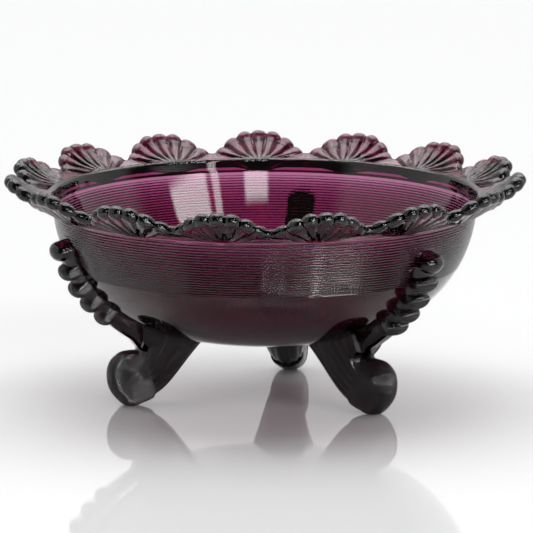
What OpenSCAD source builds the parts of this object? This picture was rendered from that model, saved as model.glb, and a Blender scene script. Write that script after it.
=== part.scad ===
// Footed glass bowl: a round threaded bowl whose rim is a ring of fluted shell fans,
// standing on curled scroll feet. The whole bowl is one pressing of solid glass, so
// each node is one moulded feature and meets its neighbours across a hairline.
// Millimetres. +Z is up, the feet stand on z = 0, and the bowl's axis is the Z axis.

/* [Bowl wall] */
// Radius of the wall at the top of the threads, under the rim
wall_r = 95.1; // [80:0.1:110]
// Height of the top of the threads above the floor
wall_top_z = 85; // [70:0.1:100]
// Height of the bowl's lowest point outside
bottom_z = 26; // [18:0.1:35]
// Radius of the bulging side of the wall, seen in section
side_arc_r = 60; // [52:0.1:64]
// Height of the middle of that arc above the floor
side_arc_z = 90.6; // [88:0.1:96]
// Thickness of the wall at the side
wall_t = 4.5; // [3:0.1:8]
// Thickness of the glass at the middle of the floor
floor_t = 6.5; // [4:0.1:10]
// Draft of the inside of the upper wall, in degrees from upright
inside_draft = 22; // [10:0.5:30]

/* [Threads] */
// Number of fine rounded threads around the upper wall
threads = 20; // [8:1:24]
// Distance from one thread to the next along the wall
thread_pitch = 1.27; // [0.9:0.01:2]
// Radius of each rounded thread
thread_r = 0.7; // [0.5:0.05:1.2]

/* [Rim] */
// Radius of the inner edge of the rim
lip_r = 96; // [90:0.1:110]
// Height of the inner edge of the rim
lip_z = 92.9; // [85:0.1:100]
// Radius at which the fans leave the rim
fan_root_r = 97.5; // [95:0.1:105]

/* [Shell fans] */
// Number of fans around the rim
fans = 15; // [6:1:24]
// Radius of the valley between two fans
valley_r = 105.3; // [100:0.1:115]
// Slope of the line that the bead centres lie on, in degrees
fan_slope = 36.5; // [20:0.5:60]
// Radius of the middle bead of a fan
bead_r = 3.2; // [2:0.1:5]

/* [Scroll feet] */
// Number of legs
legs = 3; // [3:1:4]
// Distance of the scroll's centre from the bowl's axis
scroll_x = 64.5; // [50:0.1:80]
// Height of the scroll's centre above the floor
scroll_z = 16.5; // [12:0.1:22]
// Half thickness of the scroll
scroll_half_t = 7.6; // [5:0.1:12]
// Distance between two ridges of the spiral
spiral_pitch = 2.8; // [1.5:0.1:4]
// Height of the ridges and flutes
relief = 0.38; // [0.1:0.01:0.8]

/* [Legs] */
// Half thickness of a leg where it joins the bowl
leg_half_t = 13; // [8:0.1:18]
// Number of flutes on each side of a leg
flutes = 8; // [4:1:12]

/* [Knuckle bands] */
// Number of ribbed knuckles above each foot
knuckles = 4; // [2:1:6]
// Largest radius of a knuckle
knuckle_r = 3.9; // [3:0.1:6]
// Half length of a knuckle
knuckle_half_w = 6.6; // [4:0.1:9]
// Radius of the smooth ball on top of each band
ball_r = 4.5; // [3:0.1:6]

/* [Hidden] */
$fn = 96;
// Hairline between two nodes of the one glass body
gap = 0.02;

// The side of the wall is an arc about (arc_x, side_arc_z), and the bottom is a
// sphere about (0, bowl_cz) that runs smoothly into it.
arc_x = wall_r - sqrt(pow(side_arc_r, 2) - pow(side_arc_z - wall_top_z, 2));
rise = side_arc_z - bottom_z;
sphere_r = (arc_x * arc_x + rise * rise - side_arc_r * side_arc_r) / (2 * (rise - side_arc_r));
bowl_cz = bottom_z + sphere_r;
meet_r = sphere_r * sin(atan2(arc_x, bowl_cz - side_arc_z));
in_arc_r = side_arc_r - wall_t;
in_rise = rise - floor_t;
in_sphere_r = (arc_x * arc_x + in_rise * in_rise - in_arc_r * in_arc_r) / (2 * (in_rise - in_arc_r));
// The inner sphere sits a hair high, so that it and the side arc cross cleanly
in_bowl_cz = bottom_z + floor_t + in_sphere_r + 0.03;
// Where the inside of the side arc runs into the straight draft above it
draft_start = [arc_x + in_arc_r * cos(inside_draft), side_arc_z - in_arc_r * sin(inside_draft)];
draft_inset = 0.3;
// The threads lie between these angles below level, about the middle of the side arc
thread_step = thread_pitch / side_arc_r * 180 / PI;
thread_top_a = asin((side_arc_z - wall_top_z) / side_arc_r);
thread_end_a = thread_top_a + threads * thread_step;
thread_depth = 0.45;
// The nearly flat floor and the rounded side meet at this radius
floor_r = 40;
// The rounded side and its shoulder meet at this radius
shoulder_r = 66;
// The rounded side and the threaded wall meet just below the lowest thread
split_z = side_arc_z - side_arc_r * sin(thread_end_a + thread_step);
// Heights of the rim's underside and top at the fans' roots, and the foot of its upright inner face
rim_low_z = wall_top_z + 1.9;
rim_top_z = lip_z + 0.2;
rim_inside_z = wall_top_z + 2.7;

fan_step = 360 / fans;
leg_step = 360 / legs;
// The line of the bead centres starts at this radius, and the ribs at the next one
bead_line_r = 94;
rib_root = [96.7, 0, wall_top_z + 4.2];
web_edge_r = 115.3;
// Each bead of half a fan: distance across, distance up the slope, size
beads = [[0, 25.2, 1], [6.9, 24.5, 1], [12.75, 20.9, 0.94], [17.8, 14.8, 0.84]];

// The leg's flat joint with its scroll runs from joint_low to crotch.
joint_low = [scroll_x - 10.5, 3.9];
crotch = [60.1, 25.3];
joint_len = norm(crotch - joint_low);
joint_n = [-(crotch - joint_low)[1], (crotch - joint_low)[0]] / joint_len;
joint_d = (joint_low - [scroll_x, scroll_z]) * joint_n;
// Outline of the scroll: direction from straight up towards the outside, then radius
scroll_outline = [[-60, 24], [-28, 9.2], [0, 8.4], [45, 8.8], [90, 9.9], [114, 10.9],
    [135, 12.6], [155, 14.4], [170, 16.3], [180, scroll_z + 0.35], [190, scroll_z + 0.35],
    [201, 16.6], [228, 17.9], [250, 22], [275, 25], [300, 24], [332, 9.2]];
scroll_sides = 38;
scroll_rings = 13;
leg_rows = 16;
leg_side = 26;

// Angles about the middle of the wall's side arc, from straight down: where the band leaves
// the neck, the first and the last knuckle, and the ball on top
band_a0 = 34;
knuckle_a0 = 39.7;
knuckle_a1 = 63.9;
ball_a = 73.1;
// Distance of the knuckles' middles from the wall
knuckle_off = 4.2;
band_half_w = 5;

// Height of the bowl's underside at radius r
function under_z(r) = r < meet_r ? bowl_cz - sqrt(pow(sphere_r, 2) - pow(r, 2))
    : side_arc_z - sqrt(pow(side_arc_r, 2) - pow(r - arc_x, 2));
// Part of the full thickness left at distance d from an edge rounded over w
function rounding(d, w) = d <= 0 ? 0 : d >= w ? 1 : sqrt(1 - pow(1 - d / w, 2));
function wave(a) = 0.5 + 0.5 * cos(a);

// Half section of what the side arc and the bottom sphere enclose together, up to the rim
module cup_section(arc_r, ball_r, ball_cz) {
    a = atan2(arc_x, ball_cz - side_arc_z);
    intersection() {
        union() {
            translate([arc_x, side_arc_z]) circle(r = arc_r);
            intersection() {
                translate([0, ball_cz]) circle(r = ball_r);
                polygon([[0, ball_cz], [0, 0], [ball_cz * tan(a), 0]]);
            }
        }
        square([wall_r + 10, wall_top_z]);
    }
}

// Everything inside the outside of the wall, with the threads' crests, grown by g
module wall_envelope(g) {
    rotate_extrude() cup_section(side_arc_r + g, sphere_r + g, bowl_cz);
}

// Half section of the space inside the bowl, up to the rim
module inside_section() {
    cup_section(in_arc_r, in_sphere_r, in_bowl_cz);
    polygon([[0, draft_start[1]], draft_start - [draft_inset, 0], inside_at(wall_top_z), [0, wall_top_z]]);
}

// A point on the straight inside of the upper wall
function inside_at(z) = [draft_start[0] + (z - draft_start[1]) * tan(inside_draft), z];

// Half section of the plain bowl between two radii, below the threads
module plain_section(r0, r1) {
    difference() {
        intersection() {
            cup_section(side_arc_r, sphere_r, bowl_cz);
            translate([r0, 0]) square([r1 - r0, split_z - gap]);
        }
        inside_section();
    }
}

module bowl_floor() {
    color([0.27, 0.05, 0.2]) rotate_extrude() plain_section(0, floor_r);
}

module bowl_side() {
    color([0.29, 0.05, 0.22]) rotate_extrude() plain_section(floor_r + gap, shoulder_r);
}

module bowl_shoulder() {
    color([0.31, 0.05, 0.24]) rotate_extrude() plain_section(shoulder_r + gap, wall_r);
}

// The upper wall, whose threads stand in a shallow band cut out of it
module threaded_wall() {
    reach = side_arc_r + 10;
    color([0.31, 0.06, 0.23])
    rotate_extrude() difference() {
        intersection() {
            union() {
                difference() {
                    cup_section(side_arc_r, sphere_r, bowl_cz);
                    translate([arc_x, side_arc_z]) difference() {
                        polygon([[0, 0], [reach, 0], [reach, -reach * tan(thread_end_a)]]);
                        circle(r = side_arc_r - thread_depth);
                    }
                }
                for (k = [0:threads - 1])
                    translate([arc_x, side_arc_z]) rotate(-thread_top_a - (k + 0.5) * thread_step)
                        translate([side_arc_r - thread_r, 0]) circle(r = thread_r);
            }
            translate([0, split_z]) square([wall_r + 1, wall_top_z - split_z]);
        }
        inside_section();
    }
}

module rim_lip() {
    foot = inside_at(rim_inside_z);
    color([0.33, 0.07, 0.25])
    rotate_extrude() polygon([inside_at(wall_top_z + gap), [wall_r, wall_top_z + gap],
        [fan_root_r, rim_low_z], [fan_root_r, rim_top_z], [lip_r, lip_z],
        [lip_r - 0.8, lip_z - 0.6], foot + [0.5, 2.5], foot]);
}

// Centre of bead i, counted from the middle one (0) of a fan that points along +X
function bead_at(i) =
    let (b = beads[abs(i)], r = bead_line_r + b[1] * cos(fan_slope), a = sign(i) * b[0] / r * 180 / PI)
    [r * cos(a), r * sin(a), wall_top_z + b[1] * sin(fan_slope)];

// A round bar from a to b that changes radius on the way
module bar(a, b, ra, rb) {
    d = b - a;
    translate(a) rotate([0, acos(d[2] / norm(d)), atan2(d[1], d[0])])
        cylinder(h = norm(d), r1 = ra, r2 = rb, $fn = 48);
}

module fan_web() {
    half = fan_step / 2 - asin(gap / 2 / fan_root_r);
    outline = concat([[40, 0], valley_r * [cos(half), -sin(half)]],
        [for (i = [-3:3]) [bead_at(i)[0], bead_at(i)[1]]],
        [valley_r * [cos(half), sin(half)]]);
    intersection() {
        rotate([0, 0, -half]) rotate_extrude(angle = 2 * half)
            polygon([[fan_root_r + gap, rim_low_z], [valley_r, wall_top_z + 6.4],
                [web_edge_r, wall_top_z + 14.1], [web_edge_r, wall_top_z + 16.4],
                [valley_r, wall_top_z + 9.2], [fan_root_r + gap, rim_top_z]]);
        translate([0, 0, wall_top_z]) linear_extrude(height = 30) polygon(outline);
    }
}

// A fan that points along +X: a curved web with ribs that end in round beads
module fan() {
    difference() {
        union() {
            fan_web();
            for (i = [-3:3]) {
                size = beads[abs(i)][2];
                bar(rib_root, bead_at(i), 2.2, 2.75 * size);
                translate(bead_at(i)) sphere(r = bead_r * size, $fn = 48);
            }
        }
        cylinder(h = 3 * wall_top_z, r = fan_root_r + gap);
    }
}

module place_fan(i) {
    color([0.38, 0.1, 0.3]) rotate([0, 0, (i - 1) * fan_step - 90]) fan();
}

// A closed solid through a stack of closed loops that all have the same length
module loft(rows) {
    n = len(rows[0]);
    m = len(rows);
    pts = [for (row = rows) for (p = row) p];
    sides = [for (j = [0:m - 2]) for (i = [0:n - 1]) let (k = (i + 1) % n)
        each [[j * n + i, (j + 1) * n + i, j * n + k], [j * n + k, (j + 1) * n + i, (j + 1) * n + k]]];
    // Each loop is mirror-symmetric, so the end faces are strips from one half to the other
    caps = [for (i = [0:n / 2 - 2]) let (a = i, b = i + 1, c = n - 1 - i, d = n - 2 - i)
        each [[a, b, d], [a, d, c],
            [(m - 1) * n + a, (m - 1) * n + d, (m - 1) * n + b],
            [(m - 1) * n + a, (m - 1) * n + c, (m - 1) * n + d]]];
    polyhedron(points = pts, faces = concat(sides, [for (f = caps) if (f[0] != f[1]) f]));
}

// Leg section: u runs from the inner edge (0) to the outer side (1), v from the
// joint with the scroll (0) up into the bowl (1).
function bezier(p, t) = pow(1 - t, 3) * p[0] + 3 * t * pow(1 - t, 2) * p[1]
    + 3 * t * t * (1 - t) * p[2] + pow(t, 3) * p[3];
leg_inner = [joint_low, [46, 6.5], [40, 19], [29.5, under_z(29.5) + 1.6]];
leg_outer_r = 62;
function leg_top(u) = let (r = leg_inner[3][0] + u * (leg_outer_r - leg_inner[3][0])) [r, under_z(r) + 1.6];
function leg_line(u, v) = (1 - v) * (joint_low + u * (crotch - joint_low)) + v * leg_top(u);
function leg_point(u, v) = leg_line(u, v) + (1 - u) * (bezier(leg_inner, v) - leg_line(0, v));
function leg_half(u, v) =
    let (p = leg_point(u, v), width = joint_len + v * 10,
        d = min(u * width, norm(p - crotch) + 0.4),
        full = scroll_half_t + (leg_half_t - scroll_half_t) * pow(v, 1.2))
    max(0.15, full * rounding(d, 5.5 + 4 * v) - relief * wave(360 * flutes * u + 180) * min(1, d / 2));

module leg() {
    us = [for (i = [0:leg_side - 1]) pow(1 - i / (leg_side - 0.5), 1.15)];
    difference() {
        rotate([0, 0, -90]) loft([for (j = [0:leg_rows]) let (v = j / leg_rows)
            concat([for (u = us) let (p = leg_point(u, v)) [p[0], leg_half(u, v), p[1]]],
                [for (i = [leg_side - 1:-1:0]) let (u = us[i], p = leg_point(u, v)) [p[0], -leg_half(u, v), p[1]]])]);
        wall_envelope(gap);
    }
}

// Radius of the scroll in the direction a, cut off by the flat joint
function joint_reach(a) = let (c = [sin(a), cos(a)] * joint_n) c > 0.01 ? (joint_d - gap) / c : 99;
function scroll_reach(a) = min(lookup(a, scroll_outline), joint_reach(a));
function scroll_half(a, r) =
    let (d = lookup(a, scroll_outline) - r)
    max(0.15, scroll_half_t * rounding(d + 0.1, 5.5)
        - relief * wave(360 * (r / spiral_pitch - a / 360)) * min(1, d / 2) * min(1, r / 3));

module scroll_foot() {
    n = scroll_sides;
    m = scroll_rings;
    ring = [for (j = [1:m]) for (i = [0:n - 1])
        let (a = -28 + i * 360 / n, r = scroll_reach(a) * j / m)
        [scroll_x + r * sin(a), scroll_half(a, r), scroll_z + r * cos(a)]];
    total = m * n;
    front = concat([[scroll_x, scroll_half_t, scroll_z]], ring);
    back = [for (p = front) [p[0], -p[1], p[2]]];
    half_faces = concat(
        [for (i = [0:n - 1]) [0, 1 + i, 1 + (i + 1) % n]],
        [for (j = [0:m - 2]) for (i = [0:n - 1]) let (k = (i + 1) % n, a = 1 + j * n, b = a + n)
            each [[a + i, b + i, a + k], [a + k, b + i, b + k]]]);
    s = total + 1;
    edge = 1 + (m - 1) * n;
    difference() {
        rotate([0, 0, -90]) polyhedron(points = concat(front, back), faces = concat(
            [for (f = half_faces) [f[0], f[2], f[1]]],
            [for (f = half_faces) [f[0] + s, f[1] + s, f[2] + s]],
            [for (i = [0:n - 1]) let (k = (i + 1) % n)
                each [[edge + i, edge + k, edge + i + s], [edge + k, edge + k + s, edge + i + s]]]));
        // The flat that the foot stands on
        translate([-20, -scroll_x - 20, -5]) cube([40, 40, 5]);
    }
}

// Moves to a spot beside the wall, at angle a about the side arc, off from its surface
module beside_wall(a, off) {
    translate([0, -arc_x - (side_arc_r + off) * sin(a), side_arc_z - (side_arc_r + off) * cos(a)])
        rotate([a, 0, 0]) children();
}

// A barrel that lies across the band, ringed with fine rounded ridges
module knuckle() {
    rings = 9;
    rotate([0, 90, 0]) rotate_extrude() intersection() {
        union() {
            for (k = [0:rings - 1]) let (t = (k - (rings - 1) / 2) / (rings / 2))
                translate([knuckle_r * sqrt(1 - 0.72 * t * t) - 0.9, t * knuckle_half_w * 0.9])
                    circle(r = 0.9, $fn = 32);
            polygon([[0, -knuckle_half_w * 0.86], [knuckle_r * 0.5, -knuckle_half_w * 0.83],
                [knuckle_r * 0.82, -knuckle_half_w * 0.45], [knuckle_r * 0.88, 0],
                [knuckle_r * 0.82, knuckle_half_w * 0.45], [knuckle_r * 0.5, knuckle_half_w * 0.83],
                [0, knuckle_half_w * 0.86]]);
        }
        translate([0, -20]) square([20, 40]);
    }
}

// The band's core follows the wall and ends in the neck above the scroll
module band_core() {
    reach = 80;
    rotate([90, 0, -90]) translate([0, 0, -band_half_w]) linear_extrude(height = 2 * band_half_w) union() {
        translate([arc_x, side_arc_z]) intersection() {
            difference() {
                circle(r = side_arc_r + knuckle_off);
                circle(r = side_arc_r - 1.5);
            }
            polygon([[0, 0], [reach * tan(band_a0), -reach], [reach, -reach], [reach, -reach / tan(ball_a)]]);
        }
        polygon([[leg_outer_r + 0.4, 39.5], [crotch[0] + 0.9, crotch[1] + 2.2], [63.8, 29.9],
            [68.2, 32.9], [73.3, 36.4], [76.5, 38], [74, 45]]);
    }
}

module knuckle_band() {
    difference() {
        union() {
            band_core();
            for (k = [0:knuckles - 1])
                beside_wall(knuckle_a0 + k * (knuckle_a1 - knuckle_a0) / (knuckles - 1), knuckle_off) knuckle();
            // A smooth ball tops the band
            beside_wall(ball_a, knuckle_off) {
                sphere(r = ball_r, $fn = 48);
                for (s = [-1, 1]) translate([s * 2.4, 0, 0]) sphere(r = 0.88 * ball_r, $fn = 48);
            }
        }
        wall_envelope(gap);
        // The flat side of the leg
        translate([-20, -leg_outer_r - gap - 0.3, 10]) cube([40, 60, 40]);
    }
}

module place_leg(i) {
    rotate([0, 0, 180 / legs + (i - 1) * leg_step]) children();
}

module leg_node(i) { color([0.2, 0.03, 0.14]) place_leg(i) leg(); }
module foot_node(i) { color([0.25, 0.04, 0.18]) place_leg(i) scroll_foot(); }
module band_node(i) { color([0.3, 0.06, 0.22]) place_leg(i) knuckle_band(); }

module shell_fan_01() { place_fan(1); }
module shell_fan_02() { place_fan(2); }
module shell_fan_03() { place_fan(3); }
module shell_fan_04() { place_fan(4); }
module shell_fan_05() { place_fan(5); }
module shell_fan_06() { place_fan(6); }
module shell_fan_07() { place_fan(7); }
module shell_fan_08() { place_fan(8); }
module shell_fan_09() { place_fan(9); }
module shell_fan_10() { place_fan(10); }
module shell_fan_11() { place_fan(11); }
module shell_fan_12() { place_fan(12); }
module shell_fan_13() { place_fan(13); }
module shell_fan_14() { place_fan(14); }
module shell_fan_15() { place_fan(15); }
module leg_1() { leg_node(1); }
module leg_2() { leg_node(2); }
module leg_3() { leg_node(3); }
module scroll_foot_1() { foot_node(1); }
module scroll_foot_2() { foot_node(2); }
module scroll_foot_3() { foot_node(3); }
module knuckle_band_1() { band_node(1); }
module knuckle_band_2() { band_node(2); }
module knuckle_band_3() { band_node(3); }

bowl_floor();
bowl_side();
bowl_shoulder();
threaded_wall();
rim_lip();
shell_fan_01();
shell_fan_02();
shell_fan_03();
shell_fan_04();
shell_fan_05();
shell_fan_06();
shell_fan_07();
shell_fan_08();
shell_fan_09();
shell_fan_10();
shell_fan_11();
shell_fan_12();
shell_fan_13();
shell_fan_14();
shell_fan_15();
leg_1();
leg_2();
leg_3();
scroll_foot_1();
scroll_foot_2();
scroll_foot_3();
knuckle_band_1();
knuckle_band_2();
knuckle_band_3();
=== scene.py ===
"""Footed pressed glass bowl in deep amethyst: a threaded bowl, a rim of shell fans with beaded
edges, and three curled feet, each with a ribbed knuckle band that climbs the wall.
Shapes are worked out in millimetres in the part's own frame and become metres in each mesh."""
import math

import bmesh
import bpy
import numpy as np
from mathutils import Matrix, Vector


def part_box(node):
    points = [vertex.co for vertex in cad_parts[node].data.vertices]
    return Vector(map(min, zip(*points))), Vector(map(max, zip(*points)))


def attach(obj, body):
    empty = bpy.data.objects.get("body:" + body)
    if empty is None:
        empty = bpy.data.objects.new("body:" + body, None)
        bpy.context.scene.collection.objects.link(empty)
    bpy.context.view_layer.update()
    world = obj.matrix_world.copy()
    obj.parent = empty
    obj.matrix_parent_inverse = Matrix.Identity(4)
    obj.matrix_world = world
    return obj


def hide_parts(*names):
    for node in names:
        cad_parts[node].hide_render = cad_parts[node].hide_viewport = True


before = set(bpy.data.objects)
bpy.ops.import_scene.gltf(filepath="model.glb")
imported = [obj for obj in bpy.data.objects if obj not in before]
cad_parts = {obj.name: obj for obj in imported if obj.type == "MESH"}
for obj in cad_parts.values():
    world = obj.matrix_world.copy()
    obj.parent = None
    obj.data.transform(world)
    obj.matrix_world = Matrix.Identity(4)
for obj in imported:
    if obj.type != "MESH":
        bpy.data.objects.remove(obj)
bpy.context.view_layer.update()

MM = 0.001
TAU = 2 * math.pi
DEGREES = 180 / math.pi

# Bowl: the wall's side is an arc about (ARC_X, ARC_Z), the floor a sphere on the axis
WALL_R = 95.1
WALL_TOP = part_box("threaded_wall")[1].z / MM
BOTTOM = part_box("bowl_floor")[0].z / MM
SIDE_ARC = 60.0
ARC_Z = 90.6
WALL_T = 4.5
FLOOR_T = 6.5
DRAFT = math.radians(22)            # of the inside of the upper wall, from upright
FOOT_DRAFT = math.radians(24.25)    # the same where the wall runs into the rounded side
WALL_BOW = 0.2                      # how far the inside of the upper wall bows outwards
ARC_X = WALL_R - math.sqrt(SIDE_ARC ** 2 - (ARC_Z - WALL_TOP) ** 2)
THREADS = 20
THREAD_PITCH = 1.27
THREAD_DEPTH = 0.42
THREAD_STEP = THREAD_PITCH / SIDE_ARC
THREAD_POINTS = 8
LIP_R = 96.0
LIP_Z = 92.9
RIM_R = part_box("rim_lip")[1].x / MM
RIM_INSIDE = 87.7   # height of the crease between the rim's steep inner face and the wall inside
CREASE = math.radians(42)
LAP = 0.15          # how far each piece of the one glass body runs into its neighbour

# Fans: rib directions are angles about the fan's root, in the plane of the fan
FANS = 15
FAN_HALF = math.pi / FANS
FAN_SLOPE = math.radians(36.5)      # of the plane in which the rib directions are measured
ROOT_R = 94.0
VALLEY_R = 105.3    # of the low edge between two fans
FAN_FOOT = 4.35     # distance from the root at which the mid-surface is FAN_FOOT_Z high
FAN_FOOT_Z = 89.95
FAN_RISE = 0.1955   # how steeply the mid-surface rises there
FAN_CUP = 0.01374   # how fast it gets steeper further out
BEAD_ANGLE = np.radians([-50.3, -31.4, -15.7, 0.0, 15.7, 31.4, 50.3])
BEAD_OUT = np.array([23.0, 24.4, 25.35, 25.1, 25.35, 24.4, 23.0])
BEAD_R = np.array([2.7, 3.0, 3.2, 3.2, 3.2, 3.0, 2.7])
RIB_EDGE = np.radians([-57.3, -40.85, -23.55, -7.85, 7.85, 23.55, 40.85, 57.3])
RIB_HALF_T = 3.15
WEB_HALF_T = 3.0
UPPER_WAIST = 0.2   # how much thinner the ribs are just before the beads, above
LOWER_WAIST = 0.85  # and below

# Legs: sections in the plane through the axis, (outwards, up)
LEGS = 3
SCROLL = np.array([64.5, 16.5])
SCROLL_HALF = 7.6
LEG_HALF = 13.0
CROTCH = np.array([60.1, 25.3])
JOINT_LOW = np.array([54.0, 3.9])
LEG_TOP = (29.5, 62.0)              # inner and outer radius at the bowl's underside
LEG_BENDS = ((46, 6.5), (40, 19))   # control points of the leg's inner edge
LEG_CURL = 0.28                     # share of the leg's width in which that edge is rounded
EDGE_ROUND = 5.5
FLUTES = 8.5
RELIEF = 0.45       # depth of the flutes and of the scroll's spiral
# The scroll's outline: direction from straight up towards the outside in degrees, and reach
SCROLL_OUTLINE = np.array([(-60, 24), (-28, 9.2), (0, 8.4), (45, 8.8), (90, 9.9), (114, 10.9),
                           (135, 12.6), (155, 14.4), (170, 16.3), (180, 16.85), (190, 16.85),
                           (201, 16.6), (228, 17.9), (250, 22), (275, 25), (300, 24), (332, 9.2)])
SPIRAL_ARMS = 4
SPIRAL_PITCH = 1.35

# Knuckle bands: angles about the middle of the wall's side arc, from straight down
KNUCKLES = np.radians([39.7, 47.7, 55.7, 63.9])
BALL_AT = math.radians(73.1)
KNUCKLE_R = 3.95
BALL_R = 4.45
KNUCKLE_OFF = 4.2   # how far outside the wall the knuckles' middles lie
RING_DEPTH = 0.42
RING_PITCH = 1.2
BAND_SUNK = 0.4     # how far the band's back lies inside the wall

# Studio: the world's light by direction, in degrees round from the camera to the right and up
SWEEP_LIGHT = 0.965
DIM_LIGHT = 0.1
DIM_FRONT = (-48, 83)
DIM_SOFT = 12
# Soft panels: where they lie round and up, how soft their edges are each way, and how bright
PANELS = [((110, 200), (38, 78), (12, 12), 3.6),
          ((-200, -110), (38, 78), (12, 12), 3.6),
          ((-180, 180), (72, 120), (8, 8), 4.5),
          ((36, 60), (28, 37.5), (3, 3), 11.0),
          ((-1.8, 12.3), (28, 35.7), (3, 3), 11.0),
          ((28.2, 32.6), (-10, 45), (2, 2), 9.0),
          ((14, 58), (-3, 13), (26, 8), 8.0)]
TABLE_HALF = 6.0    # metres

# Camera: metres and radians, with a long lens
CAMERA_AZIMUTH = math.radians(10.55)
CAMERA_TILT = 0.1822
CAMERA_DISTANCE = 2.954
CAMERA_TARGET = Vector((0, 0, 0.05))
LENS = 443.1
LENS_SHIFT = (0.0032, 0.0378)


def sphere_for(arc_r, bottom):
    """Radius of the sphere on the axis that runs smoothly into the side arc and reaches bottom."""
    rise = ARC_Z - bottom
    return (ARC_X ** 2 + rise ** 2 - arc_r ** 2) / (2 * (rise - arc_r))


def rounding(d, w):
    """Share of the full thickness at distance d from an edge that is rounded over w."""
    x = np.clip(np.asarray(d, float) / w, 0, 1)
    return np.sqrt(np.clip(1 - (1 - x) ** 2, 0, 1))


def smoothstep(lo, hi, x):
    t = np.clip((np.asarray(x, float) - lo) / (hi - lo), 0, 1)
    return t * t * (3 - 2 * t)


def soft_max(a, b, k):
    """The larger of a and b, blended where they are within k of each other."""
    h = np.clip(0.5 + 0.5 * (a - b) / k, 0, 1)
    return b + (a - b) * h + k * h * (1 - h)


def solid_from_grids(name, grids):
    """One closed mesh from grids of points in mm whose borders meet; each is (points, wraps round)."""
    verts, faces, start = [], [], 0
    for points, wraps in grids:
        rows, cols = points.shape[:2]
        verts.append(points.reshape(-1, 3) * MM)
        i, j = np.meshgrid(np.arange(rows - 1), np.arange(cols if wraps else cols - 1), indexing="ij")
        k = (j + 1) % cols
        quads = np.stack([i * cols + j, (i + 1) * cols + j, (i + 1) * cols + k, i * cols + k], -1)
        faces.append(quads.reshape(-1, 4) + start)
        start += rows * cols
    mesh = bpy.data.meshes.new(name)
    mesh.from_pydata(np.concatenate(verts).tolist(), [], np.concatenate(faces).tolist())
    bm = bmesh.new()
    bm.from_mesh(mesh)
    bmesh.ops.remove_doubles(bm, verts=bm.verts, dist=1e-6)
    bmesh.ops.dissolve_degenerate(bm, edges=bm.edges, dist=1e-7)
    bmesh.ops.recalc_face_normals(bm, faces=bm.faces)
    for face in bm.faces:
        face.smooth = True
    bm.to_mesh(mesh)
    open_edges = sum(1 for e in bm.edges if not e.is_manifold)
    bm.free()
    mesh.set_sharp_from_angle(angle=CREASE)
    if open_edges:
        print(f"{name}: {open_edges} edges are not closed")
    return mesh


def slab_grids(front, back):
    """The two faces of a slab and the strips that join their borders."""
    border = [(slice(None), 0), (slice(None), -1), (0, slice(None)), (-1, slice(None))]
    strips = [(np.stack([front[b], back[b]], 0), False) for b in border]
    return [(front, False), (back, False)] + strips


# ---------------------------------------------------------------- bowl
def on_arc(reach, angle):
    """The point (radius, z) at this reach from the middle of the side arc; angle from straight down."""
    return ARC_X + reach * math.sin(angle), ARC_Z - reach * math.cos(angle)


def outside_outline():
    """The bowl's outside, from the middle underneath to the top of the threads."""
    sphere = sphere_for(SIDE_ARC, BOTTOM)
    meet = math.atan2(ARC_X, BOTTOM + sphere - ARC_Z)
    under = [(sphere * math.sin(a), BOTTOM + sphere - sphere * math.cos(a))
             for a in np.linspace(0, meet, 34)]
    foot = math.acos((ARC_Z - WALL_TOP) / SIDE_ARC) - THREADS * THREAD_STEP
    side = [on_arc(SIDE_ARC, a) for a in np.linspace(meet, foot, 30)[1:]]
    threads = []
    for k in range(THREADS):
        for t in np.linspace(0, 1, THREAD_POINTS + 1)[1:]:
            crest = abs(math.sin(math.pi * t)) ** 0.75
            reach = SIDE_ARC - THREAD_DEPTH * (1 - crest)
            threads.append(on_arc(reach, foot + (k + t) * THREAD_STEP))
    return under + side + threads


def rim_outline():
    """The rim, from its underside round the edge that carries the fans to the inner lip."""
    out = RIM_R + LAP
    below = [(WALL_R + 0.1, WALL_TOP + 0.6), (WALL_R + 0.2, WALL_TOP + 1.15),
             (WALL_R + 0.6, WALL_TOP + 1.5), (RIM_R - 0.6, WALL_TOP + 1.75)]
    edge = [(out, WALL_TOP + 2.1), (out, WALL_TOP + 5), (out, LIP_Z + 0.1), (RIM_R - 0.4, LIP_Z + 0.12)]
    lip = [(LIP_R + 0.25, LIP_Z + 0.06), (LIP_R - 0.1, LIP_Z - 0.06), (LIP_R - 0.45, LIP_Z - 0.25)]
    return below + edge + lip


def inside_outline():
    """The bowl's inside, from the inner lip to the middle of the floor."""
    lip = np.array([LIP_R - 0.9, LIP_Z - 0.8])
    arc = SIDE_ARC - WALL_T
    tangent = np.array(on_arc(arc, math.pi / 2 - DRAFT))
    crease = tangent + (RIM_INSIDE - tangent[1]) * np.array([math.tan(DRAFT), 1])
    foot = np.array(on_arc(arc, math.pi / 2 - FOOT_DRAFT))
    inner_rim = [tuple(lip + t * (crease - lip)) for t in np.linspace(0, 1, 8)]
    bow = WALL_BOW * np.array([math.cos(DRAFT), -math.sin(DRAFT)])
    wall = [tuple(crease + t * (foot - crease) + 4 * t * (1 - t) * bow)
            for t in np.linspace(0, 1, 24)[1:]]
    sphere = sphere_for(arc, BOTTOM + FLOOR_T)
    middle = BOTTOM + FLOOR_T + sphere
    meet = math.atan2(ARC_X, middle - ARC_Z)
    side = [on_arc(arc, a) for a in np.linspace(math.pi / 2 - FOOT_DRAFT, meet, 40)[1:]]
    floor = [(sphere * math.sin(a), middle - sphere * math.cos(a)) for a in np.linspace(meet, 0, 30)[1:]]
    return inner_rim + wall + side + floor


def bowl_mesh():
    profile = np.array(outside_outline() + rim_outline() + inside_outline())
    a = np.linspace(0, TAU, 361)[:-1]
    r, z = profile[:, 0][:, None], profile[:, 1][:, None]
    points = np.stack([r * np.cos(a), r * np.sin(a), z + 0 * a], -1)
    return solid_from_grids("glass_bowl", [(points, True)])


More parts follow.
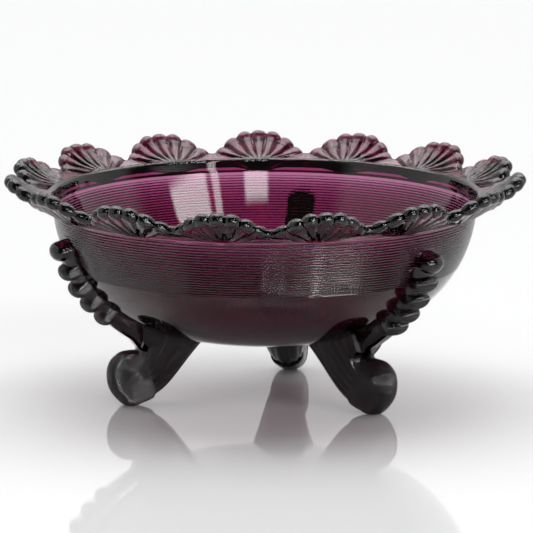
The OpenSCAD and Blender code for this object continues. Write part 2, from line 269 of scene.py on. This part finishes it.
# ---------------------------------------------------------------- fans
def fan_mid(out, across):
    """Radius, height and slope of the fan's mid-surface, out along a rib and across it."""
    w = out * np.cos(across)
    x = w - FAN_FOOT
    r = ROOT_R + w * math.cos(FAN_SLOPE)
    z = FAN_FOOT_Z + FAN_RISE * x + FAN_CUP * x * x
    slope = np.arctan((FAN_RISE + 2 * FAN_CUP * x) / math.cos(FAN_SLOPE))
    return r, z, slope


def fan_stretch(out, across):
    """How much longer the cupped mid-surface is than a straight one, out along a rib."""
    rise = FAN_RISE + 2 * FAN_CUP * (out * np.cos(across) - FAN_FOOT)
    along = np.hypot(math.cos(FAN_SLOPE), rise)
    return np.hypot(along * np.cos(across), np.sin(across))


def reach_to(radius, across):
    """Distance along each rib direction from the fan's root to a straight edge at this radius."""
    return (radius - ROOT_R) / math.cos(FAN_SLOPE) / np.cos(across)


def rib_at(across):
    """Of the rib in each direction: how far off its middle it is (1 at its edge), and the bead's
    distance from the root and its radius there."""
    cell = np.clip(np.searchsorted(RIB_EDGE, across) - 1, 0, len(BEAD_ANGLE) - 1)
    off = across - BEAD_ANGLE[cell]
    reach = np.where(off > 0, RIB_EDGE[cell + 1], RIB_EDGE[cell]) - BEAD_ANGLE[cell]
    m = np.clip(off / reach, 0, 1.2)
    bead_r = BEAD_R[cell] * np.sqrt(np.clip(1 - (0.87 * m) ** 2, 0, 1)) * (m <= 1.0001)
    return m, np.interp(across, BEAD_ANGLE, BEAD_OUT), bead_r


def fan_height(out, across, waist):
    """From the fan's middle to its face: ribs that end in beads, over a thinner web.

    The ribs are this much thinner just before the beads than at the root."""
    m, centre, bead_r = rib_at(across)
    t = (out - centre) * fan_stretch(centre, across)
    bead = np.sqrt(np.clip(bead_r ** 2 - t ** 2, 0, None))
    full = RIB_HALF_T - waist * smoothstep(5, 21, out)
    groove = 1 - (1 - np.sqrt(1 - (0.9 * np.clip(m, 0, 1)) ** 2)) * smoothstep(4.5, 13, out)
    rib = full * groove * rounding(centre + 0.6 - out, 2.2)
    rib = np.where(m <= 1.0001, rib, 0)
    web_edge = np.where(np.abs(across) > BEAD_ANGLE[-1], reach_to(VALLEY_R, across), centre)
    web = (WEB_HALF_T - 1.35 * smoothstep(5, 13, out)) * rounding(web_edge - out, 1.3)
    return soft_max(bead, np.maximum(rib, web), 0.25)


def fan_reach(across):
    """How far out the fan's outline lies in each direction about its root."""
    m, centre, bead_r = rib_at(across)
    beads = centre + bead_r / fan_stretch(centre, across)
    half = FAN_HALF + LAP / VALLEY_R
    side = ROOT_R * half / (np.sin(np.abs(across)) - math.cos(FAN_SLOPE) * half * np.cos(across) + 1e-9)
    side = np.where(np.abs(across) > math.radians(30), side, 1e9)
    past_beads = np.abs(across) > BEAD_ANGLE[-1]
    outline = np.where(past_beads, np.maximum(beads, reach_to(VALLEY_R, across)), beads)
    return np.minimum(outline, side)


def fan_mesh():
    """A fan that points along +X."""
    corner = math.radians(77.6)
    valley = math.radians(57.6)
    middle = np.concatenate([np.linspace(RIB_EDGE[i], RIB_EDGE[i + 1], 19)[:-1] for i in range(7)]
                            + [[RIB_EDGE[-1], valley]])
    side = np.linspace(valley, corner, 16)[1:]
    across = np.concatenate([-side[::-1], [-valley], middle, side])
    near = reach_to(RIM_R - LAP, across)
    far = np.maximum(fan_reach(across), near + 1e-4)
    share = np.sin(np.linspace(0, math.pi / 2, 40))
    out = near[:, None] + (far - near)[:, None] * share[None, :]
    wide = np.broadcast_to(across[:, None], out.shape)

    def place(lift):
        r, z, slope = fan_mid(out, wide)
        angle = out * np.sin(wide) / r
        r = r - lift * np.sin(slope)
        return np.stack([r * np.cos(angle), r * np.sin(angle), z + lift * np.cos(slope)], -1)

    upper, lower = fan_height(out, wide, UPPER_WAIST), fan_height(out, wide, LOWER_WAIST)
    return solid_from_grids("shell_fan", slab_grids(place(upper), place(-lower)))


# ---------------------------------------------------------------- legs
def spiral_phase(reach, angle):
    """Counts the ridges of the spiral: whole numbers lie on its crests."""
    return reach / SPIRAL_PITCH - SPIRAL_ARMS * angle / TAU


def ridge(phase):
    """Rounded crests with sharp valleys between them, from 0 to 1."""
    return np.abs(np.cos(math.pi * phase)) ** 0.8


def across_leg(section, side):
    """3-D points from (outwards, up) in the plane of a leg that points along +X, and an offset across it."""
    return np.stack([section[..., 0], side, section[..., 1]], -1)


def scroll_mesh():
    """The curled foot, cut off flat where the leg runs into it."""
    angle = np.linspace(-math.radians(28), TAU - math.radians(28), 241)
    edge = np.interp(angle, np.radians(SCROLL_OUTLINE[:, 0]), SCROLL_OUTLINE[:, 1])
    across = np.array([-(CROTCH - JOINT_LOW)[1], (CROTCH - JOINT_LOW)[0]])
    across = across / np.linalg.norm(across)
    facing = np.sin(angle) * across[0] + np.cos(angle) * across[1]
    joint = np.where(facing > 0.01, (np.dot(JOINT_LOW - SCROLL, across) + LAP) / np.maximum(facing, 0.01), 99)
    flat = np.linspace(0, 1, 44)[:-1]
    curl = np.linspace(0, math.pi / 2, 60)
    start = np.minimum(edge - EDGE_ROUND, joint)
    inner = start[:, None] * flat[None, :]
    outer = (edge - EDGE_ROUND)[:, None] + EDGE_ROUND * np.sin(curl)[None, :]
    reach = np.concatenate([inner, outer], 1)
    bulge = np.concatenate([0 * inner, outer * 0 + curl[None, :]], 1)
    edge_size = math.hypot(EDGE_ROUND, SCROLL_HALF) / math.sqrt(2)
    over_edge = np.where(joint < edge - EDGE_ROUND, 0, edge_size)
    around = np.concatenate([inner, start[:, None] + curl[None, :] * over_edge[:, None]], 1)
    turn = np.broadcast_to(angle[:, None], reach.shape)
    crests = RELIEF * (1 - ridge(spiral_phase(around, turn))) * smoothstep(0.6, 3, around)
    crests = crests * smoothstep(0, 0.8, joint[:, None] - reach)
    half = (SCROLL_HALF - crests) * np.cos(bulge)
    reach = np.minimum(reach - crests * np.sin(bulge), joint[:, None])
    height = np.maximum(0, SCROLL[1] + reach * np.cos(turn))
    section = np.stack([SCROLL[0] + reach * np.sin(turn), height], -1)
    return solid_from_grids("scroll_foot", [(across_leg(section, side), False) for side in (half, -half)])


def in_underside(r):
    """A height just inside the glass over the bowl's underside."""
    sphere = sphere_for(SIDE_ARC, BOTTOM)
    middle = BOTTOM + sphere
    meet = sphere * math.sin(math.atan2(ARC_X, middle - ARC_Z))
    r = np.asarray(r, float)
    side = ARC_Z - np.sqrt(SIDE_ARC ** 2 - np.clip(r - ARC_X, 0, None) ** 2)
    return np.where(r < meet, middle - np.sqrt(sphere ** 2 - r ** 2), side) + 1.2


def leg_mesh():
    """The fluted shank between the scroll and the bowl's underside."""
    v = np.linspace(-0.02, 1, 42)
    rounded = LEG_CURL * (1 - np.sin(np.linspace(0, math.pi / 2, 44)))
    u = np.concatenate([np.linspace(1, LEG_CURL, 72)[:-1], rounded])
    uu, vv = np.meshgrid(u, v)
    t = vv[..., None]
    bend_1, bend_2 = np.array(LEG_BENDS)
    inner_top = np.array([LEG_TOP[0], in_underside(LEG_TOP[0])])
    curve = ((1 - t) ** 3 * JOINT_LOW + 3 * t * (1 - t) ** 2 * bend_1
             + 3 * t * t * (1 - t) * bend_2 + t ** 3 * inner_top)
    chord = (1 - t) * JOINT_LOW + t * inner_top
    top_r = LEG_TOP[0] + uu * (LEG_TOP[1] - LEG_TOP[0])
    top = np.stack([top_r, in_underside(top_r)], -1)
    low = JOINT_LOW + uu[..., None] * (CROTCH - JOINT_LOW)
    section = (1 - t) * low + t * top + (1 - uu[..., None]) * (curve - chord)
    full = SCROLL_HALF + (LEG_HALF - SCROLL_HALF) * np.clip(vv, 0, 1) ** 1.2
    near_crotch = np.linalg.norm(section - CROTCH, axis=-1) + 0.6
    width = np.linalg.norm(CROTCH - JOINT_LOW) + 10 * vv
    curl = np.clip(1 - uu / LEG_CURL, 0, 1)
    on_side = 0.6 * (1 - uu) / (1 - LEG_CURL)
    on_curl = 0.6 + 0.4 * np.arcsin(curl) / (math.pi / 2)
    cut = RELIEF * (1 - ridge(FLUTES * np.where(uu > LEG_CURL, on_side, on_curl)))
    half = (full - cut) * np.sqrt(1 - curl ** 2) * rounding(near_crotch, EDGE_ROUND)
    section = section + (cut * curl / np.maximum(width, 1))[..., None] * (CROTCH - JOINT_LOW)
    return solid_from_grids("leg", slab_grids(across_leg(section, half), across_leg(section, -half)))


def band_mesh():
    """The neck above the scroll, four ringed knuckles and a smooth ball, laid along the wall's side arc."""
    first, last = math.radians(20.5), math.radians(78.8)
    along = np.linspace(first, last, 240)
    tau = np.linspace(-math.pi / 2, math.pi / 2, 121)
    ss, tt = np.meshgrid(along, tau, indexing="ij")
    half_w = 6.9 - 1.2 * (1 - smoothstep(math.radians(29), math.radians(39), ss))
    half_w = half_w * rounding(last + 0.003 - ss, math.radians(5.5))
    side = half_w * np.sin(tt)
    neck = np.interp(np.degrees(ss), [20.7, 25.1, 29.6, 35, 38, 90], [9.8, 7.0, 6.4, 5.9, 4.7, 4.3])
    fade = 1 - smoothstep(math.radians(71.5), math.radians(77), ss)
    height = neck * rounding(6.0 - np.abs(side), 4) * fade
    rings = RING_DEPTH * (1 - ridge(side / RING_PITCH))
    barrel = KNUCKLE_R * np.sqrt(np.clip(1 - (side / 7.3) ** 2, 0, 1)) ** 0.8 - rings
    for at in KNUCKLES:
        x = (ss - at) * (SIDE_ARC + KNUCKLE_OFF)
        over = KNUCKLE_OFF + np.sqrt(np.clip(barrel ** 2 - x ** 2, 0, None))
        height = soft_max(height, over * (np.abs(x) < barrel), 0.15)
    x = (ss - BALL_AT) * (SIDE_ARC + KNUCKLE_OFF)
    ball = np.sqrt(np.clip(1 - (side / 6.4) ** 2 - (x / 4.5) ** 2, 0, None))
    height = soft_max(height, (KNUCKLE_OFF + BALL_R * ball) * (ball > 0), 0.3)
    height = np.where(np.abs(tt) > math.pi / 2 - 1e-6, -BAND_SUNK, height)
    height[0], height[-1] = -BAND_SUNK, -BAND_SUNK

    def place(lift):
        reach = SIDE_ARC + lift
        return np.stack([ARC_X + reach * np.sin(ss), side, ARC_Z - reach * np.cos(ss)], -1)

    return solid_from_grids("knuckle_band", [(place(height), False), (place(0 * height - BAND_SUNK), False)])


# ---------------------------------------------------------------- materials
def node(tree, kind, **values):
    made = tree.nodes.new(kind)
    for key, value in values.items():
        if key in made.inputs:
            made.inputs[key].default_value = value
        else:
            setattr(made, key, value)
    return made


def amethyst(name, ripple, seed):
    """Deep purple pressed glass, coloured through its depth, with a faint fire-polished ripple."""
    made = bpy.data.materials.new(name)
    made.use_nodes = True
    tree = made.node_tree
    tree.nodes.clear()
    link = tree.links.new
    out = node(tree, "ShaderNodeOutputMaterial")
    glass = node(tree, "ShaderNodeBsdfPrincipled")
    glass.inputs["Base Color"].default_value = (1, 1, 1, 1)
    glass.inputs["Transmission Weight"].default_value = 1
    glass.inputs["IOR"].default_value = 1.5
    coords = node(tree, "ShaderNodeTexCoord")
    smudges = node(tree, "ShaderNodeTexNoise", Scale=38.0 + seed, Detail=3.0)
    rough = node(tree, "ShaderNodeMapRange")
    rough.inputs["To Min"].default_value = 0.0
    rough.inputs["To Max"].default_value = 0.015
    waves = node(tree, "ShaderNodeTexNoise", Scale=60.0, Detail=1.5)
    bump = node(tree, "ShaderNodeBump", Strength=ripple, Distance=0.0004)
    link(coords.outputs["Object"], smudges.inputs["Vector"])
    link(coords.outputs["Object"], waves.inputs["Vector"])
    link(smudges.outputs["Fac"], rough.inputs["Value"])
    link(rough.outputs["Result"], glass.inputs["Roughness"])
    link(waves.outputs["Fac"], bump.inputs["Height"])
    link(bump.outputs["Normal"], glass.inputs["Normal"])
    depth = node(tree, "ShaderNodeVolumeAbsorption", Density=1000.0)
    depth.inputs["Color"].default_value = (0.587, 0.0, 0.368, 1)
    link(glass.outputs["BSDF"], out.inputs["Surface"])
    link(depth.outputs["Volume"], out.inputs["Volume"])
    return made


def floor_material():
    """Pale polished table."""
    made = bpy.data.materials.new("pale_table")
    made.use_nodes = True
    shader = made.node_tree.nodes["Principled BSDF"]
    shader.inputs["Base Color"].default_value = (0.66, 0.66, 0.665, 1)
    shader.inputs["Roughness"].default_value = 0.04
    shader.inputs["IOR"].default_value = 1.6
    return made


# ---------------------------------------------------------------- pieces
def add_piece(name, mesh, material, nodes, turn):
    """A piece of the glass whose mesh points along +X, turned about the bowl's axis."""
    mesh = mesh.copy()
    mesh.transform(Matrix.Rotation(turn, 4, "Z"))
    mesh.materials.append(material)
    piece = bpy.data.objects.new(name, mesh)
    bpy.context.collection.objects.link(piece)
    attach(piece, "root")
    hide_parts(*nodes)
    return piece


def add_glass():
    wall = amethyst("amethyst_glass_wall", 0.03, 0.0)
    relief = amethyst("amethyst_glass_relief", 0.025, 7.0)
    bowl_nodes = ["bowl_floor", "bowl_side", "bowl_shoulder", "threaded_wall", "rim_lip"]
    add_piece("glass_bowl", bowl_mesh(), wall, bowl_nodes, 0)
    fan = fan_mesh()
    for i in range(FANS):
        turn = TAU * i / FANS - math.pi / 2
        add_piece(f"glass_fan_{i + 1:02d}", fan, relief, [f"shell_fan_{i + 1:02d}"], turn)
    leg, scroll, band = leg_mesh(), scroll_mesh(), band_mesh()
    for i in range(LEGS):
        turn = TAU * i / LEGS + math.pi / LEGS - math.pi / 2
        add_piece(f"glass_leg_{i + 1}", leg, relief, [f"leg_{i + 1}"], turn)
        add_piece(f"glass_scroll_{i + 1}", scroll, relief, [f"scroll_foot_{i + 1}"], turn)
        add_piece(f"glass_band_{i + 1}", band, relief, [f"knuckle_band_{i + 1}"], turn)


# ---------------------------------------------------------------- studio
def add_floor():
    mesh = bpy.data.meshes.new("table")
    s = TABLE_HALF
    mesh.from_pydata([(-s, -s, 0), (s, -s, 0), (s, s, 0), (-s, s, 0)], [], [(0, 1, 2, 3)])
    table = bpy.data.objects.new("table", mesh)
    bpy.context.collection.objects.link(table)
    mesh.materials.append(floor_material())


def between(tree, value, low, high, soft):
    """Nodes that give 1 where value lies between low and high, with soft edges, and 0 elsewhere."""
    away = node(tree, "ShaderNodeMath", operation="SUBTRACT")
    away.inputs[1].default_value = (low + high) / 2
    size = node(tree, "ShaderNodeMath", operation="ABSOLUTE")
    edge = node(tree, "ShaderNodeMapRange", interpolation_type="SMOOTHSTEP")
    half = (high - low) / 2
    for key, number in (("From Min", half + soft / 2), ("From Max", half - soft / 2)):
        edge.inputs[key].default_value = number
    tree.links.new(value, away.inputs[0])
    tree.links.new(away.outputs[0], size.inputs[0])
    tree.links.new(size.outputs[0], edge.inputs["Value"])
    return edge.outputs["Result"]


def calculate(tree, operation, a, b):
    """A maths node's result; a and b are sockets or numbers."""
    made = node(tree, "ShaderNodeMath", operation=operation)
    for socket, value in zip(made.inputs, (a, b)):
        if isinstance(value, (int, float)):
            socket.default_value = value
        else:
            tree.links.new(value, socket)
    return made.outputs[0]


def add_world():
    """A photographer's white sweep: white behind and beside the bowl, dim in front, and soft panels."""
    world = bpy.data.worlds.new("studio")
    bpy.context.scene.world = world
    world.use_nodes = True
    tree = world.node_tree
    tree.nodes.clear()
    coords = node(tree, "ShaderNodeTexCoord")
    facing = node(tree, "ShaderNodeVectorRotate", rotation_type="Z_AXIS")
    facing.inputs["Angle"].default_value = -CAMERA_AZIMUTH
    split = node(tree, "ShaderNodeSeparateXYZ")
    tree.links.new(coords.outputs["Generated"], facing.inputs["Vector"])
    tree.links.new(facing.outputs[0], split.inputs[0])
    toward = calculate(tree, "MULTIPLY", split.outputs["Y"], -1)
    round_from_camera = calculate(tree, "ARCTAN2", split.outputs["X"], toward)
    azimuth = calculate(tree, "MULTIPLY", round_from_camera, DEGREES)
    height = calculate(tree, "MULTIPLY", calculate(tree, "ARCSINE", split.outputs["Z"], 0), DEGREES)
    dim = between(tree, azimuth, *DIM_FRONT, DIM_SOFT)
    shade = calculate(tree, "MULTIPLY", dim, SWEEP_LIGHT - DIM_LIGHT)
    light = calculate(tree, "SUBTRACT", SWEEP_LIGHT, shade)
    for sides, rise, soft, bright in PANELS:
        across = between(tree, azimuth, *sides, soft[0])
        panel = calculate(tree, "MULTIPLY", across, between(tree, height, *rise, soft[1]))
        light = calculate(tree, "ADD", light, calculate(tree, "MULTIPLY", panel, bright))
    path = node(tree, "ShaderNodeLightPath")
    plain = calculate(tree, "MULTIPLY", path.outputs["Is Camera Ray"], SWEEP_LIGHT)
    hidden = calculate(tree, "SUBTRACT", 1, path.outputs["Is Camera Ray"])
    back = node(tree, "ShaderNodeBackground")
    strength = calculate(tree, "ADD", plain, calculate(tree, "MULTIPLY", hidden, light))
    tree.links.new(strength, back.inputs["Strength"])
    out = node(tree, "ShaderNodeOutputWorld")
    tree.links.new(back.outputs[0], out.inputs["Surface"])
    world.cycles.sampling_method = "MANUAL"
    world.cycles.sample_map_resolution = 1024


def add_camera():
    """A long lens, a little above the rim and a little round from the front fan."""
    away = Vector((math.sin(CAMERA_AZIMUTH) * math.cos(CAMERA_TILT),
                   -math.cos(CAMERA_AZIMUTH) * math.cos(CAMERA_TILT), math.sin(CAMERA_TILT)))
    cam = bpy.data.cameras.new("camera")
    cam.sensor_width = 36
    cam.lens = LENS
    cam.shift_x, cam.shift_y = LENS_SHIFT
    cam.clip_end = 50
    eye = bpy.data.objects.new("camera", cam)
    bpy.context.collection.objects.link(eye)
    eye.location = CAMERA_TARGET + away * CAMERA_DISTANCE
    eye.rotation_euler = away.to_track_quat("Z", "Y").to_euler()
    bpy.context.scene.camera = eye


add_camera()
add_world()
add_floor()
add_glass()

scene = bpy.context.scene
scene.view_settings.view_transform = "Standard"
scene.cycles.max_bounces = 32
scene.cycles.transmission_bounces = 28
scene.cycles.glossy_bounces = 8
scene.cycles.transparent_max_bounces = 16
